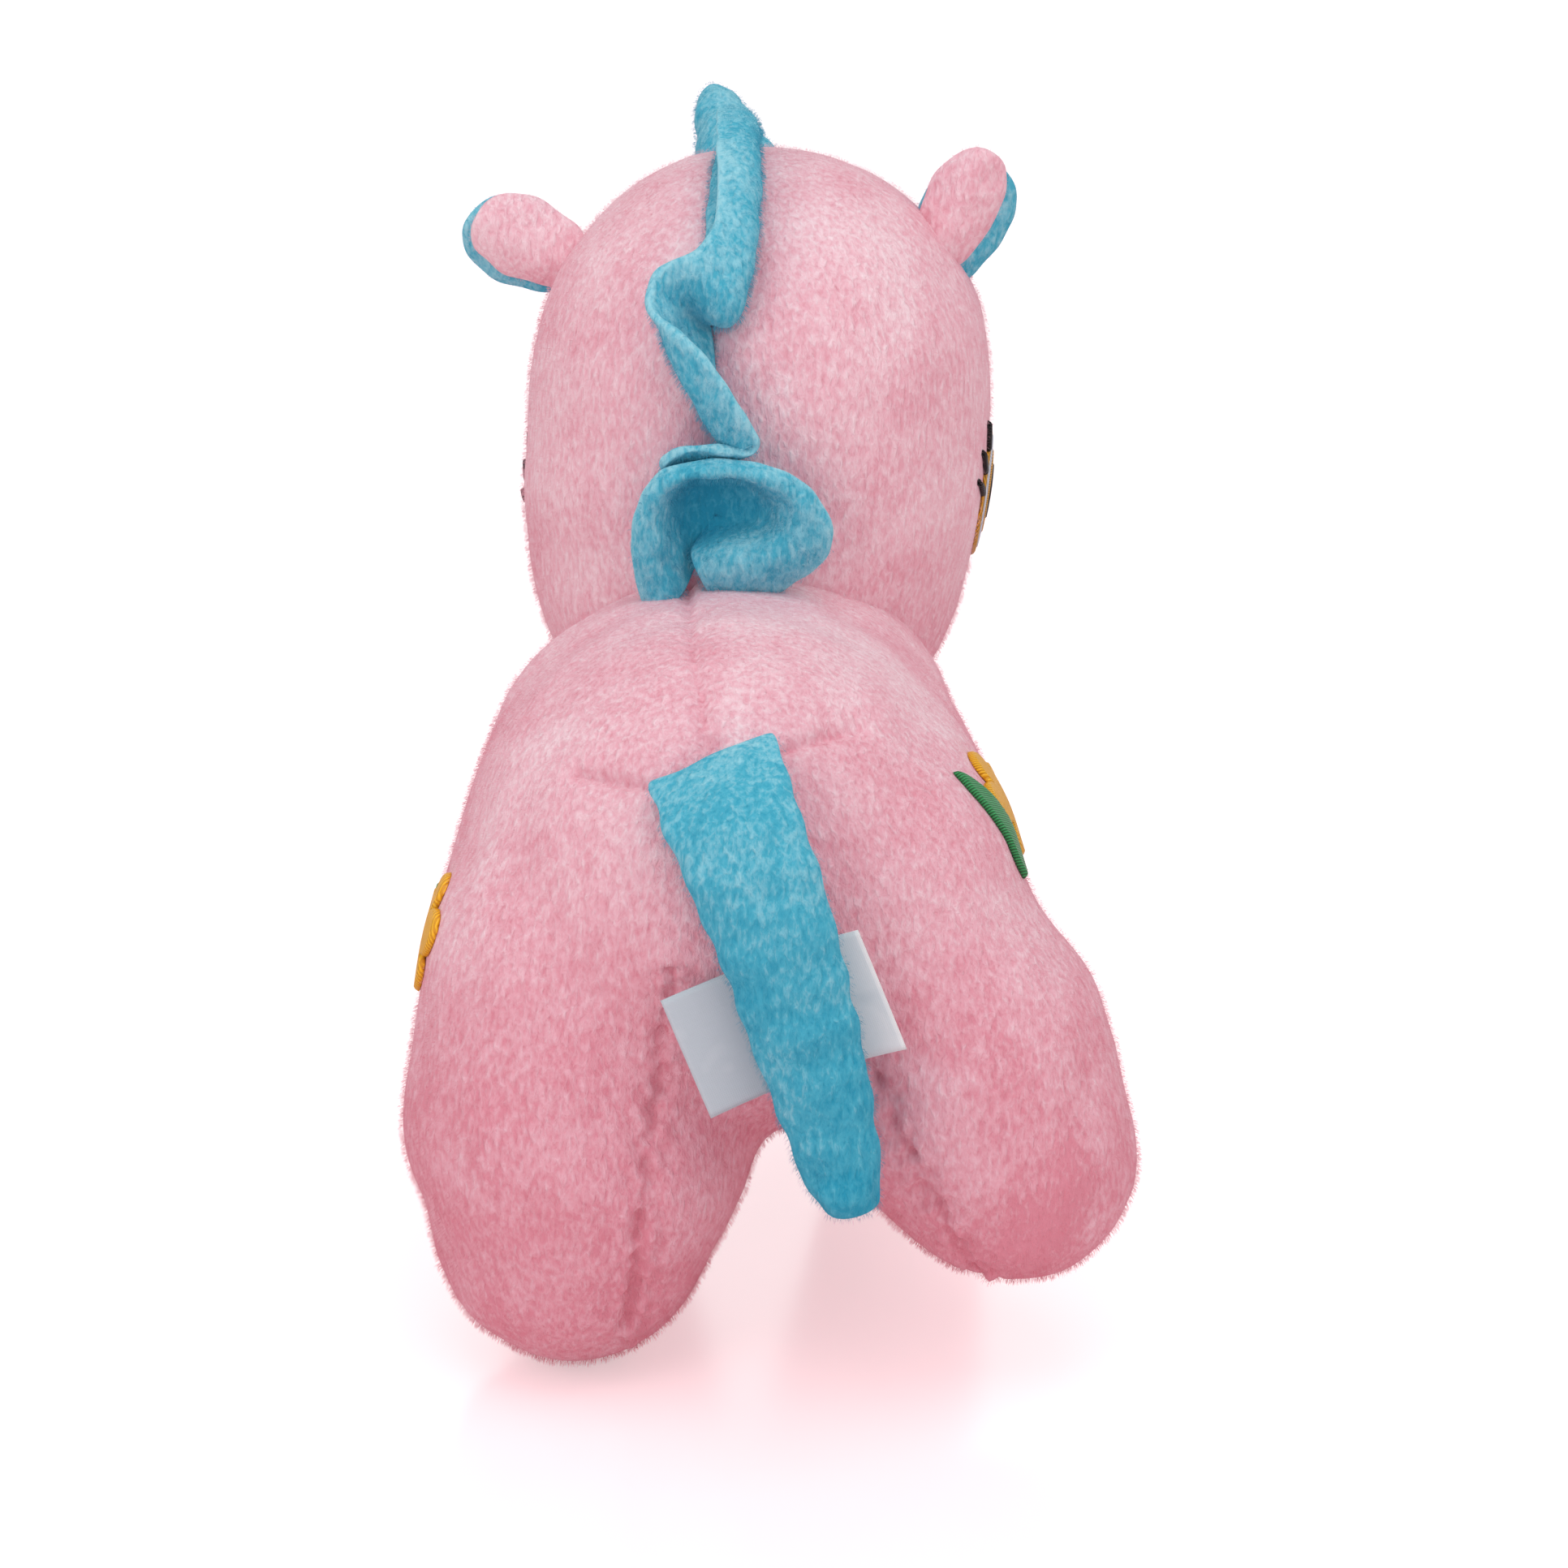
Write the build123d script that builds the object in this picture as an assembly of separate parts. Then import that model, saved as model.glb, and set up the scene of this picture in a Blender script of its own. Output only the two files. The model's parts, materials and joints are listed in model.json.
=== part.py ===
"""A soft stuffed unicorn, standing, as it is cut, stuffed and sewn.

Frame: +Z up, the face looks along -Y, the toy's own left is +X, and the soles rest on Z = 0.
The origin is under the middle of the whole toy. All sizes are millimetres.
The toy stands as a hand left it: the hindquarters roll to one side, so the right hind foot hangs
clear of the table, and the head keeps nearly upright on the neck.
"""
import math
import os

from build123d import *

# ---------------------------------------------------------------- driving dimensions
SKIN = 2.2              # plush cloth with its pile pressed down
COVER = 1.4             # thinner cloth of the horn and the tail
FILL_GAP = 0.2          # between a cover and the stuffing inside it
MOVING_GAP = 0.4        # between two bodies that move against each other
TRIM = 0.9              # height of the satin stitch above the plush
CLOTH = 0.7             # the label's ribbon

ROLL_PIVOT_Z = 110.0
HIND_ROLL = 11.0        # the right side is up
HIND_LIFT = 10.0
RUMP_RADIUS = 66.0
RUMP_CENTRE = (0, 27, 113)
CHEST_RADIUS = 59.0
CHEST_CENTRE = (0, -35, 115)
HIP_RADIUS = 40.0
HIP = (35, 46, 102)
HIP_SHIFT = 4.0             # both hips sit a little to the left
KNEE_RADIUS = 42.0
KNEE = (50, 51, 64)
SHANK_RADIUS = 41.0
SHANK = (47, 52, 58)
HIND_FOOT_RADIUS = 30.0
LEFT_HIND_FOOT = (55, 57, 26.5)
RIGHT_HIND_FOOT = (55, 57, 34)
SHOULDER_RADIUS = 34.0
SHOULDER = (34, -60, 95)
FORE_FOOT_RADIUS = 25.0
FORE_FOOT = (44, -78, 22)
GUSSET_TOP_Z = 112.0
GUSSET_TOP_LEFT = 12.0
GUSSET_TOP_RIGHT = 20.0
GUSSET_FLOOR_HALF = 47.0
BACK_SEAM = (9, 35, 180)    # a point of the seam along the back
BACK_SEAM_YAW = 4.0

HEAD_CENTRE = (-3, -75, 211)
HEAD_YAW = -4.0
HEAD_ROLL = 3.5
HEAD_RADIUS = 61.0          # of the crown
CHEEK_RADIUS = 65.5         # of the wider lower half
CROWN_RISE = 14.0           # centres of the two round ends above and below the head's middle
CHEEK_DROP = 12.0
HEAD_SEAM_X = 5.0           # the head's middle seam lies a little to its left
MUZZLE_RADIUS = 36.0
MUZZLE_CENTRE = (3, -50, -27)
NECK_PIVOT = (-2, -62, 166)
NECK_RADIUS = 42.0
NOD_DOWN = 10.0             # travel of the head from rest, degrees
NOD_BACK = 8.0
SWEEP_SLACK = 0.3

HORN_FORWARD = 50.0         # where the horn is sewn, degrees forward of the crown
HORN_LEAN = 55.0            # where it points
HORN_SIDE_LEAN = 16.0
HORN_BASE_RADIUS = 13.0
HORN_TIP_RADIUS = 5.0
HORN_LENGTH = 34.0          # between the centres of its two round ends
HORN_SEAT = 4.0             # the round base's centre above the forehead

EAR_HEIGHT_ANGLE = 34.5     # where the ears are sewn, degrees above the head's middle
LEFT_EAR_LEAN = -4.0         # upward, from square to the head
RIGHT_EAR_LEAN = 12.0
EAR_BASE_RADIUS = 12.5
EAR_TIP_RADIUS = 9.0
EAR_LENGTH = 16.0           # between the centres of its two round ends
EAR_CLOTH = 2.8
EAR_LINING = 2.2
EAR_RIM = 1.6               # pink rim round the blue lining

MANE_CLOTH = 5.0
MANE_HEIGHT = 13.0
# One fold ends at each pair: the way back from the crown along the head, then sideways.
MANE_FOLDS = ((-27, 0), (4, -4), (46, -13), (64, 12), (98, -10), (110, 14), (117, -16))

EYE_ANGLE = 84.0            # degrees round from the front of the face
EYE_DROP = 20.0             # below the middle of the head
EYE_HALF_WIDTH = 12.0
EYE_HALF_HEIGHT = 16.0
IRIS_SHARE = 0.74
PUPIL_SHARE = 0.5
LASH_LENGTH = 10.0
LASH_WIDTH = 1.8
LASH_ANGLES = (8, 32, 56)
NOSTRIL_RADIUS = 2.6
NOSTRIL_SPREAD = 11.0
NOSTRIL_RISE = 7.0
MOUTH_RADIUS = 15.0
MOUTH_WIDTH = 1.8
MOUTH_DROP = 2.0

TAIL_ROLL = 15.0
TAIL_OFFSET = -9.0
TAIL_ROOT_ANGLE = 36.0      # above the middle of the rump
TAIL_THICKNESS = 11.0
TAIL_STAND_OFF = 3.6        # room for the label between the rump and the tail
TAIL_ROOT_HALF = 16.5
TAIL_END_HALF = 9.5
TAIL_DROP = 66.0            # of its end below the middle of the rump

LABEL_LEAF = 25.0
LABEL_HEIGHT = 32.0
LABEL_ROLL = 24.0
LABEL_PITCH = 10.0
LABEL_FLARE = 8.0
LABEL_SIDEWAYS = -15.6      # of its fold, from the middle of the rump
LABEL_INWARD = 2.8          # of its fold, from the rump's rearmost point
LABEL_LOW = 17.5            # of its middle, below the middle of the rump

FLANK_MARK_RISE = 15.0
FLANK_MARK_BACK = -6.0
BLOSSOM_PETAL_RADIUS = 6.2
BLOSSOM_RING = 8.5
LEAF_RADIUS = 15.0
LEAF_OFFSET = 9.0

BIG = 400.0                 # longer than the toy, for cutting tools


# ---------------------------------------------------------------- frames
HIND = Pos(0, 0, ROLL_PIVOT_Z + HIND_LIFT) * Rot(0, HIND_ROLL, 0) * Pos(0, 0, -ROLL_PIVOT_Z)
HEAD = Pos(*HEAD_CENTRE) * Rot(0, 0, HEAD_YAW) * Rot(0, HEAD_ROLL, 0)


def mirrored(point):
    return (-point[0], point[1], point[2])


def placed(frame, point):
    """The point of a frame, as a Vector of the toy."""
    return (frame * Pos(*point)).position


# ---------------------------------------------------------------- shapes
def ball(centre, radius):
    return Pos(*centre) * Sphere(radius)


def limb(start, start_radius, end, end_radius):
    """The hull of two balls: one solid of revolution along the line between them."""
    start = Vector(*start)
    end = Vector(*end)
    length = (end - start).length
    lean = math.asin((start_radius - end_radius) / length)

    def on_ball(height, radius, angle):
        return (radius * math.cos(angle), 0, height + radius * math.sin(angle))

    low = on_ball(0, start_radius, lean)
    high = on_ball(length, end_radius, lean)
    bottom = (0, 0, -start_radius)
    top = (0, 0, length + end_radius)
    outline = [
        ThreePointArc(bottom, on_ball(0, start_radius, (lean - math.pi / 2) / 2), low),
        Line(low, high),
        ThreePointArc(high, on_ball(length, end_radius, (lean + math.pi / 2) / 2), top),
        Line(top, bottom),
    ]
    return Plane(origin=start, z_dir=end - start).location * revolve(make_face(outline), Axis.Z)


def half_space(frame, side):
    """Everything on one side of a frame's YZ plane: side 1 keeps its +X, side -1 its -X."""
    return frame * Pos(side * BIG / 2, 0, 0) * Box(BIG, BIG, BIG)


def shell(solid_at, thickness):
    return solid_at(0) - solid_at(thickness)


# ---------------------------------------------------------------- the body
def head_sweep(grow):
    """The room that the round head takes as it nods."""
    room = None
    for angle in (-NOD_BACK, 0, NOD_DOWN):
        turn = Pos(*NECK_PIVOT) * Rot(angle, 0, 0) * Pos(*[-value for value in NECK_PIVOT])
        turned = turn * HEAD * round_head(grow)
        room = turned if room is None else room + turned
    return room


def hip_centre(side):
    return (side * HIP[0] + HIP_SHIFT, HIP[1], HIP[2])


def torso(inset):
    """The stuffed body with its four legs and the round neck, shrunk all over by inset."""
    solid = HIND * limb(RUMP_CENTRE, RUMP_RADIUS - inset, CHEST_CENTRE, CHEST_RADIUS - inset)
    for side, foot in ((1, LEFT_HIND_FOOT), (-1, mirrored(RIGHT_HIND_FOOT))):
        knee, shank = [(side * point[0], point[1], point[2]) for point in (KNEE, SHANK)]
        hip = hip_centre(side)
        solid += HIND * limb(hip, HIP_RADIUS - inset, knee, KNEE_RADIUS - inset)
        solid += HIND * limb(shank, SHANK_RADIUS - inset, foot, HIND_FOOT_RADIUS - inset)
        shoulder = (side * SHOULDER[0], SHOULDER[1], SHOULDER[2])
        fore_foot = (side * FORE_FOOT[0], FORE_FOOT[1], FORE_FOOT[2])
        solid += limb(shoulder, SHOULDER_RADIUS - inset, fore_foot, FORE_FOOT_RADIUS - inset)
    solid -= head_sweep(MOVING_GAP + SWEEP_SLACK + inset)
    solid += Pos(*NECK_PIVOT) * Rot(0, 90, 0) * Sphere(NECK_RADIUS - inset)
    return solid & (Pos(0, 0, inset + BIG / 2) * Box(BIG, BIG, BIG))


def gusset_wedge():
    """The wedge that cuts the belly and inner-leg cloth out of the body's skin."""
    bottom = -GUSSET_TOP_Z / 3

    def low_edge(top_half):
        return GUSSET_FLOOR_HALF - (GUSSET_FLOOR_HALF - top_half) / GUSSET_TOP_Z * bottom

    outline = Polyline(
        (-low_edge(GUSSET_TOP_RIGHT), bottom), (low_edge(GUSSET_TOP_LEFT), bottom),
        (GUSSET_TOP_LEFT, GUSSET_TOP_Z), (-GUSSET_TOP_RIGHT, GUSSET_TOP_Z), close=True)
    return HIND * (Plane.XZ * extrude(make_face(outline), BIG / 2, both=True))


def body_nodes():
    skin = shell(torso, SKIN)
    wedge = gusset_wedge()
    back = Pos(*BACK_SEAM) * Rot(0, 0, BACK_SEAM_YAW) * Rot(0, HIND_ROLL, 0)
    sides = skin - wedge
    return {
        "body_left_panel": sides & half_space(back, 1),
        "body_right_panel": sides & half_space(back, -1),
        "belly_gusset": skin & wedge,
        "body_stuffing": torso(SKIN + FILL_GAP),
    }


# ---------------------------------------------------------------- the head, in its own frame
def round_head(grow):
    return limb((0, 0, -CHEEK_DROP), CHEEK_RADIUS + grow, (0, 0, CROWN_RISE), HEAD_RADIUS + grow)


def crown_point(way_back, sideways, above):
    """A point over the middle seam: the way back from the crown, and a height above the plush."""
    reach = HEAD_RADIUS + above
    quarter = HEAD_RADIUS * math.pi / 2
    angle = min(way_back, quarter) / HEAD_RADIUS
    straight = max(way_back - quarter, 0)
    return Vector(HEAD_SEAM_X + sideways, reach * math.sin(angle), CROWN_RISE + reach * math.cos(angle) - straight)


def horn_frame():
    seat = crown_point(-math.radians(HORN_FORWARD) * HEAD_RADIUS, 0, HORN_SEAT)
    return Pos(*seat) * Rot(HORN_LEAN, 0, 0) * Rot(0, HORN_SIDE_LEAN, 0)


def head(inset):
    solid = round_head(-inset) + ball(MUZZLE_CENTRE, MUZZLE_RADIUS - inset)
    neck = HEAD.inverse() * Pos(*NECK_PIVOT)
    solid -= neck * Sphere(NECK_RADIUS + MOVING_GAP + inset)
    return solid - horn_frame() * Sphere(HORN_BASE_RADIUS + MOVING_GAP + inset)


def head_nodes():
    skin = shell(head, SKIN)
    seam = Pos(HEAD_SEAM_X, 0, 0)
    return {
        "head_left_panel": skin & half_space(seam, 1),
        "head_right_panel": skin & half_space(seam, -1),
        "head_stuffing": head(SKIN + FILL_GAP),
    }


def ellipse_prism(frame, half_width, half_height):
    return frame * extrude(Ellipse(half_width, half_height), BIG / 4)


def eye_nodes(side):
    """Satin stitch on the cheek: a white, a ring, a pupil and three lashes, side by side."""
    name = "left" if side > 0 else "right"
    turn = 90 + side * EYE_ANGLE
    frame = Pos(HEAD_SEAM_X / 2, 0, -EYE_DROP) * Rot(0, 0, turn - 90) * Rot(90, 0, 0)
    stitch = round_head(TRIM) - round_head(0)
    white = ellipse_prism(frame, EYE_HALF_WIDTH, EYE_HALF_HEIGHT)
    iris = ellipse_prism(frame, EYE_HALF_WIDTH * IRIS_SHARE, EYE_HALF_HEIGHT * IRIS_SHARE)
    pupil = ellipse_prism(frame, EYE_HALF_WIDTH * PUPIL_SHARE, EYE_HALF_HEIGHT * PUPIL_SHARE)
    lashes = None
    for angle in LASH_ANGLES:
        lash = frame * Rot(0, 0, 90 - side * (90 - angle)) * Pos(EYE_HALF_WIDTH + LASH_LENGTH / 2, 0, BIG / 8)
        strip = lash * Box(LASH_LENGTH, LASH_WIDTH, BIG / 4)
        lashes = strip if lashes is None else lashes + strip
    return {
        name + "_eye_white": stitch & (white - iris),
        name + "_eye_iris": stitch & (iris - pupil),
        name + "_eye_pupil": stitch & pupil,
        name + "_eye_lashes": stitch & (lashes - white),
    }


def muzzle_nodes():
    stitch = ball(MUZZLE_CENTRE, MUZZLE_RADIUS + TRIM) - ball(MUZZLE_CENTRE, MUZZLE_RADIUS)
    front = Pos(*MUZZLE_CENTRE) * Rot(90, 0, 0)
    ring = Circle(MOUTH_RADIUS) - Circle(MOUTH_RADIUS - MOUTH_WIDTH)
    lower = Pos(0, -MOUTH_RADIUS, 0) * Rectangle(MOUTH_RADIUS * 1.6, MOUTH_RADIUS)
    nodes = {"mouth_stitch": stitch & (front * Pos(0, -MOUTH_DROP, 0) * extrude(ring & lower, BIG / 4))}
    for name, side in (("left_nostril", 1), ("right_nostril", -1)):
        spot = front * Pos(side * NOSTRIL_SPREAD, NOSTRIL_RISE, 0)
        nodes[name] = stitch & ellipse_prism(spot, NOSTRIL_RADIUS, NOSTRIL_RADIUS * 1.4)
    return nodes


def mane_node():
    """A doubled strip of plush on edge along the middle seam, folded from side to side."""
    mane = None
    for (start_angle, start_side), (end_angle, end_side) in zip(MANE_FOLDS, MANE_FOLDS[1:]):
        start = crown_point(start_angle, start_side, 0)
        end = crown_point(end_angle, end_side, 0)
        out = crown_point((start_angle + end_angle) / 2, (start_side + end_side) / 2, MANE_HEIGHT)
        middle = (start + end) * 0.5
        along = end - start
        across = along.cross(out - middle)
        fold = Plane(origin=middle, x_dir=along, z_dir=across.cross(along))
        strip = fold.location * Box(along.length + MANE_CLOTH, MANE_CLOTH, 2 * MANE_HEIGHT)
        mane = strip if mane is None else mane + strip
    return mane - round_head(FILL_GAP)


# ---------------------------------------------------------------- the horn, in its own frame
def horn(inset):
    return limb((0, 0, 0), HORN_BASE_RADIUS - inset, (0, 0, HORN_LENGTH), HORN_TIP_RADIUS - inset)


# ---------------------------------------------------------------- the ears, each in its own frame
def ear_frame(side):
    """X runs out along the ear, Y to the back of the head and Z along the sewn edge."""
    sewn = math.radians(EAR_HEIGHT_ANGLE)
    reach = HEAD_RADIUS + MOVING_GAP + (EAR_CLOTH + EAR_LINING) / 2
    hinge = (side * reach * math.cos(sewn), 0, CROWN_RISE + reach * math.sin(sewn))
    return Pos(*hinge) * Rot(0, -EAR_HEIGHT_ANGLE if side > 0 else EAR_HEIGHT_ANGLE - 180, 0)


def ear_leaf(side, rim, front, back):
    """A round-ended leaf whose sewn edge is rounded about the hinge, between two depths of Y."""
    base_radius = EAR_BASE_RADIUS - rim
    tip_radius = EAR_TIP_RADIUS - rim
    thickness = EAR_CLOTH + EAR_LINING
    lean = LEFT_EAR_LEAN if side > 0 else -RIGHT_EAR_LEAN
    tip = Rot(0, 0, lean) * Pos(EAR_LENGTH, 0)
    outline = make_hull((Circle(base_radius) + tip * Circle(tip_radius)).edges())
    leaf = Plane.XZ * extrude(outline, thickness, both=True)
    sewn_edge = Cylinder(thickness / 2, 2 * base_radius)
    leaf = (leaf & Pos(BIG / 2, 0, 0) * Box(BIG, thickness, BIG)) + sewn_edge
    return leaf & Pos(0, (front + back) / 2, 0) * Box(BIG, back - front, BIG)


def ear_nodes(side):
    name = "left" if side > 0 else "right"
    middle = (EAR_CLOTH + EAR_LINING) / 2
    frame = HEAD * ear_frame(side)
    return {
        name + "_ear_outer": frame * ear_leaf(side, 0, middle - EAR_CLOTH, middle),
        name + "_ear_lining": frame * ear_leaf(side, EAR_RIM, -middle, middle - EAR_CLOTH),
    }


# ---------------------------------------------------------------- the tail, in a frame on the rump
def tail_frame():
    return Pos(*placed(HIND, RUMP_CENTRE)) * Rot(0, TAIL_ROLL, 0) * Pos(TAIL_OFFSET, 0, 0)


def tail_hinge():
    """The sewn edge of the tail, as a Y and a Z in its frame."""
    angle = math.radians(TAIL_ROOT_ANGLE)
    reach = RUMP_RADIUS + TAIL_STAND_OFF + TAIL_THICKNESS / 2
    return reach * math.cos(angle), reach * math.sin(angle)


def tail(inset):
    """A flat tapered tube that follows the rump and then hangs straight down."""
    angle = math.radians(TAIL_ROOT_ANGLE)
    inner = RUMP_RADIUS + TAIL_STAND_OFF + inset
    outer = RUMP_RADIUS + TAIL_STAND_OFF + TAIL_THICKNESS - inset
    end = -TAIL_DROP + inset

    def on_arc(radius, share):
        return (0, radius * math.cos(share * angle), radius * math.sin(share * angle))

    side_view = make_face([
        ThreePointArc(on_arc(inner, 1), on_arc(inner, 0.5), on_arc(inner, 0)),
        Line((0, inner, 0), (0, inner, end)),
        Line((0, inner, end), (0, outer, end)),
        Line((0, outer, end), (0, outer, 0)),
        ThreePointArc(on_arc(outer, 0), on_arc(outer, 0.5), on_arc(outer, 1)),
        Line(on_arc(outer, 1), on_arc(inner, 1)),
    ])
    root_y, root_z = tail_hinge()
    root_half = TAIL_ROOT_HALF - inset
    end_half = TAIL_END_HALF - inset
    back_view = make_face(Polyline(
        (-root_half, root_z), (root_half, root_z), (end_half, end), (-end_half, end), close=True))
    tube = extrude(side_view, BIG / 4, both=True) & (Plane.XZ * extrude(back_view, BIG / 2, both=True))
    root_radius = tail_root_radius() - inset
    return tube + Pos(0, root_y, root_z) * Rot(0, 90, 0) * Cylinder(root_radius, 2 * root_half)


def tail_root_radius():
    """The gathered root fills the room up to the rump."""
    return TAIL_STAND_OFF + TAIL_THICKNESS / 2 - MOVING_GAP


# ---------------------------------------------------------------- the label
def label_leaf(side):
    seat = placed(HIND, RUMP_CENTRE) + Vector(LABEL_SIDEWAYS, RUMP_RADIUS - LABEL_INWARD, -LABEL_LOW)
    spine = Pos(*seat) * Rot(0, LABEL_ROLL, 0) * Rot(-LABEL_PITCH, 0, 0)
    clear = CLOTH * math.tan(math.radians(LABEL_FLARE))
    leaf = Pos(side * (clear + LABEL_LEAF / 2), CLOTH / 2, 0) * Box(LABEL_LEAF, CLOTH, LABEL_HEIGHT)
    return spine * Rot(0, 0, side * LABEL_FLARE) * leaf


# ---------------------------------------------------------------- the stitched flank marks
def flank_mark(side, body):
    """A blossom and a leaf in satin stitch on the hip, the same way round on both flanks."""
    hip = Vector(*hip_centre(side)) + Vector(0, FLANK_MARK_BACK, FLANK_MARK_RISE)
    outward = HIND * Pos(*hip) * Rot(0, 0, side * 90) * Rot(90, 0, 0)
    petals = Circle(BLOSSOM_RING)
    for turn in range(5):
        petals += Rot(0, 0, 72 * turn + 18) * Pos(BLOSSOM_RING, 0) * Circle(BLOSSOM_PETAL_RADIUS)
    leaf = (Pos(0, LEAF_OFFSET) * Circle(LEAF_RADIUS)) & (Pos(0, -LEAF_OFFSET) * Circle(LEAF_RADIUS))
    beside = Pos(-(BLOSSOM_RING + BLOSSOM_PETAL_RADIUS), 0)
    blossom = outward * Pos(LEAF_OFFSET / 2, 0) * extrude(petals, BIG / 4)
    leaf = outward * Pos(LEAF_OFFSET / 2, 0) * beside * Rot(0, 0, 75) * extrude(leaf, BIG / 4)
    grown = torso(-TRIM)
    name = "left_flank" if side > 0 else "right_flank"
    return {
        name + "_blossom": (grown & blossom) - body,
        name + "_leaf": (grown & (leaf - blossom)) - body,
    }


# ---------------------------------------------------------------- all nodes, and the joints' places
def build_nodes():
    nodes = body_nodes()
    body = torso(0)
    nodes.update(flank_mark(1, body))
    nodes.update(flank_mark(-1, body))
    nodes["label_left_leaf"] = label_leaf(1)
    nodes["label_right_leaf"] = label_leaf(-1)
    on_head = head_nodes()
    on_head.update(eye_nodes(1))
    on_head.update(eye_nodes(-1))
    on_head.update(muzzle_nodes())
    on_head["mane"] = mane_node()
    on_head["horn_cover"] = horn_frame() * shell(horn, COVER)
    on_head["horn_stuffing"] = horn_frame() * horn(COVER + FILL_GAP)
    for name, solid in on_head.items():
        nodes[name] = HEAD * solid
    nodes.update(ear_nodes(1))
    nodes.update(ear_nodes(-1))
    nodes["tail_cover"] = tail_frame() * shell(tail, COVER)
    nodes["tail_stuffing"] = tail_frame() * tail(COVER + FILL_GAP)
    return nodes


def joint_frames():
    """Each joint's frame: its hinge runs along the frame's X, or along Z for the ears."""
    root_y, root_z = tail_hinge()
    return {
        "neck_nod": Pos(*NECK_PIVOT),
        "horn_tilt": HEAD * horn_frame(),
        "left_ear_flop": HEAD * ear_frame(1),
        "right_ear_flop": HEAD * ear_frame(-1),
        "tail_lift": tail_frame() * Pos(0, root_y, root_z),
    }


def to_origin(nodes):
    """The shift that puts the origin under the middle of the whole toy."""
    box = Compound(children=[solid.moved(Location()) for solid in nodes.values()]).bounding_box()
    middle = box.center()
    return Pos(-middle.X, -middle.Y, -box.min.Z)


def main():
    nodes = build_nodes()
    shift = to_origin(nodes)
    os.makedirs("parts", exist_ok=True)
    for name, solid in nodes.items():
        export_step(shift * solid, os.path.join("parts", name + ".step"))
    return nodes, shift


if __name__ == "__main__":
    main()
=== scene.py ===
"""The looks of a stuffed plush unicorn: skins, pile, seams, stitched marks, label and stage."""
import json
from math import acos, atan2, cos, exp, hypot, pi, radians, sin, tan

import bmesh
import bpy
import numpy as np
from bpy.props import FloatProperty, FloatVectorProperty, PointerProperty
from bpy.types import Operator, Panel, PropertyGroup
from mathutils import Matrix, Vector
from mathutils.bvhtree import BVHTree
from mathutils.kdtree import KDTree

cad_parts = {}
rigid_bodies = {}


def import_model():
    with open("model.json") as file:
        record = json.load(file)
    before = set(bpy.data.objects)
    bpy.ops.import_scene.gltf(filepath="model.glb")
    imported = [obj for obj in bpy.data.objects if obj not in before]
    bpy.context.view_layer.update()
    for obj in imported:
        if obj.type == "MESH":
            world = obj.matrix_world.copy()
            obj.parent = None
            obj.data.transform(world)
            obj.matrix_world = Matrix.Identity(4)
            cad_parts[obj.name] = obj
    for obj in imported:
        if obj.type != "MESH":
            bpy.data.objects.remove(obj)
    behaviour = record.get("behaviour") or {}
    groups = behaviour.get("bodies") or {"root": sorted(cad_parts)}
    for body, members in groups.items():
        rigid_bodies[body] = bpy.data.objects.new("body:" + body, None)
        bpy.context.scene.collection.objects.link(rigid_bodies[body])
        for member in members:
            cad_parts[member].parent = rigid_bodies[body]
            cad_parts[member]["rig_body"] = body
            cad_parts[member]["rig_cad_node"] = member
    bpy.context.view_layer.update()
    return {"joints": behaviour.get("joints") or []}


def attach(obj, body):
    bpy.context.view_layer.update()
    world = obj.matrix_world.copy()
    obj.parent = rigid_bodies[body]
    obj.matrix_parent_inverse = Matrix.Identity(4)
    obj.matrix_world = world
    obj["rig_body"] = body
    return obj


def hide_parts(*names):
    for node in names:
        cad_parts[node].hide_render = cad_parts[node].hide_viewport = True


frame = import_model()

bl_info = {
    "name": "Plush unicorn",
    "version": (1, 0, 0),
    "blender": (4, 5, 0),
    "location": "3D View > Sidebar > Plush",
    "description": "Builds a sewn and stuffed plush unicorn round its fixed frame",
    "category": "Object",
}

MM = 0.001
VOXEL = 0.0048                          # of the skins that are stuffed, in metres
SLACK = 1.4                             # how much thinner a skin starts than it ends, in mm
STUFFING_STEPS = 20
HELD = 0.003                            # how near a seam the stuffing can't move a skin, in metres
BACK_SEAM_END = 0.12                    # the height of its lower end, in metres


# ---------------- places, in the shared frame
def moved(x, y, z):
    """A shift in millimetres."""
    return Matrix.Translation(Vector((x, y, z)) * MM)


def turned(degrees, axis):
    """A turn about X, Y or Z."""
    return Matrix.Rotation(radians(degrees), 4, axis)


def pivot(joint_name):
    """Where a joint turns."""
    joint = next(joint for joint in frame["joints"] if joint["name"] == joint_name)
    return Vector(joint["pos_m"])


NECK = (-2, -62, 166)                   # of the neck's joint, which ties the two frames together
TOY = Matrix.Translation(pivot("neck_nod")) @ moved(*[-value for value in NECK])
HIND = TOY @ moved(0, 0, 120) @ turned(11, "Y") @ moved(0, 0, -110)
HEAD = TOY @ moved(-3, -75, 211) @ turned(-4, "Z") @ turned(3.5, "Y")
RUMP = (0, 27, 113)
RUMP_RADIUS = 66
TAIL = Matrix.Translation(HIND @ (Vector(RUMP) * MM)) @ turned(15, "Y") @ moved(-9, 0, 0)
LABEL = (Matrix.Translation(HIND @ (Vector(RUMP) * MM)) @ moved(-15.6, 63.6, -17.5)
         @ moved(0.8, 0, 2.4) @ turned(21.5, "Y") @ turned(-2, "X"))

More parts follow.
